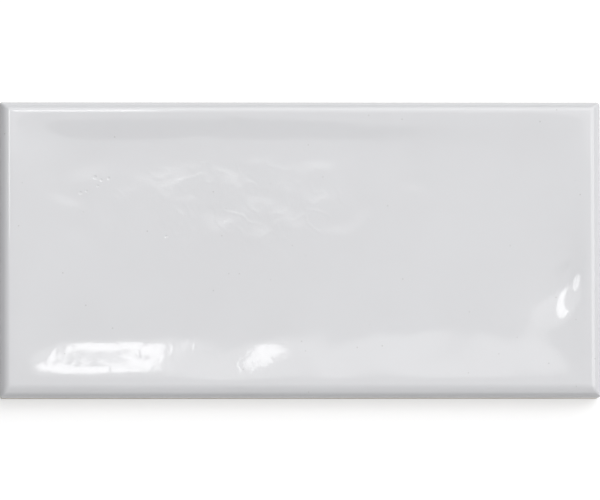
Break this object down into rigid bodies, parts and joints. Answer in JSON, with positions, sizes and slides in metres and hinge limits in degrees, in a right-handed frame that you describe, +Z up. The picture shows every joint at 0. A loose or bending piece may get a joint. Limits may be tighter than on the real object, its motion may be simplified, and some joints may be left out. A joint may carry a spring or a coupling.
{
  "type": "wall tile",
  "caption": "Rectangular white glazed ceramic wall tile with rolled edges, a shallow hollowed and softly waved face, and a grooved back that keys into adhesive.",
  "frame": {"origin": "middle of the back, on the plane that the tile rests on", "axes": "+X along the tile's length, +Y across it, +Z up out of the glazed face"},
  "size_m": [0.132, 0.065, 0.0083],
  "materials": {
    "white_glaze": "high-gloss white glaze over face and rolled edges, bare cream biscuit on the sides' lower half and the back"
  },
  "bodies": {
    "root": {"tile": "white_glaze"}
  },
  "joints": []
}
